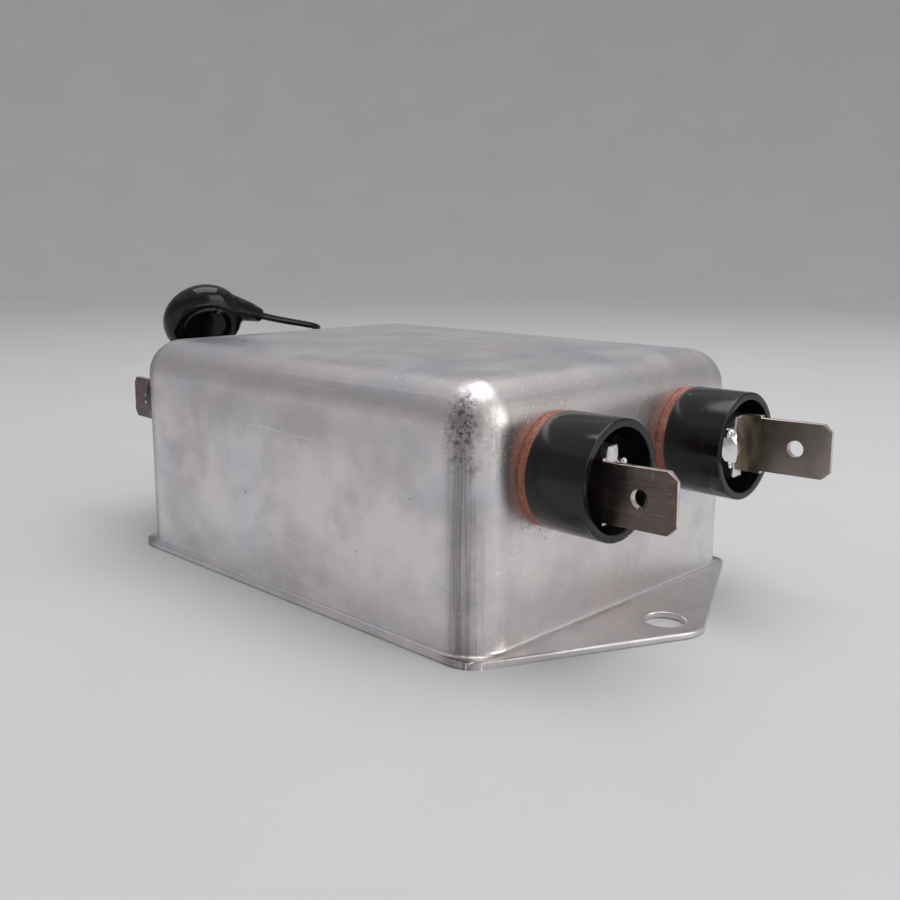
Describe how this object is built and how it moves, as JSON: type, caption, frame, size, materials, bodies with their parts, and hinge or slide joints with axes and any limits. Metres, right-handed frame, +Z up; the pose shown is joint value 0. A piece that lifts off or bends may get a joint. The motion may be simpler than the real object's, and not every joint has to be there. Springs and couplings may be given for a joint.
{
  "type": "emi line filter",
  "caption": "Mains EMI line filter in a drawn metal can with mounting ears, shrouded blade terminals at both ends and a surge varistor across the line end.",
  "frame": {"origin": "on the mounting plane, midway between the two mounting holes", "axes": "+X along the can towards the load terminals, +Y across the can, +Z up from the mounting plane"},
  "size_m": [0.1041, 0.0518, 0.0366],
  "materials": {
    "aluminium": "satin, drawn and worn",
    "black_plastic": "glossy, nicked",
    "red_fibre": "rough red-brown fibre",
    "tinned_brass": "dull tinned, bright cut edges",
    "solder": "bright to dull solder and tinned copper",
    "ferrite": "dull grey",
    "enamelled_copper": "enamelled copper wire",
    "pressed_board": "brown insulating board",
    "yellow_film": "moulded box",
    "blue_ceramic": "dipped ceramic",
    "resistor_body": "lacquered"
  },
  "bodies": {
    "root": {"case": "aluminium", "bottom_plate": "aluminium", "sleeve_load_1": "black_plastic", "sleeve_load_2": "black_plastic", "sleeve_line_1": "black_plastic", "sleeve_line_2": "black_plastic", "washer_load_1": "red_fibre", "washer_load_2": "red_fibre", "washer_line_1": "red_fibre", "washer_line_2": "red_fibre", "inner_washer_load_1": "red_fibre", "inner_washer_load_2": "red_fibre", "inner_washer_line_1": "red_fibre", "inner_washer_line_2": "red_fibre", "post_load_1": "solder", "post_load_2": "solder", "post_line_1": "solder", "post_line_2": "solder", "blade_load_1": "tinned_brass", "blade_load_2": "tinned_brass", "blade_line_1": "tinned_brass", "blade_line_2": "tinned_brass", "solder_load_1": "solder", "solder_load_2": "solder", "solder_line_1": "solder", "solder_line_2": "solder", "choke_core": "ferrite", "choke_divider": "pressed_board", "choke_pad": "pressed_board", "winding_1": "enamelled_copper", "winding_2": "enamelled_copper", "insulating_card": "pressed_board", "x_capacitor": "yellow_film", "x_capacitor_leads": "solder", "y_capacitor_1": "blue_ceramic", "y_capacitor_1_leads": "solder", "y_capacitor_2": "blue_ceramic", "y_capacitor_2_leads": "solder", "earth_lug": "solder", "bleed_resistor": "resistor_body", "bleed_resistor_leads": "solder", "varistor": "black_plastic", "varistor_lead_1": "solder", "varistor_lead_2": "solder", "varistor_joint_1": "solder", "varistor_joint_2": "solder"}
  },
  "joints": []
}
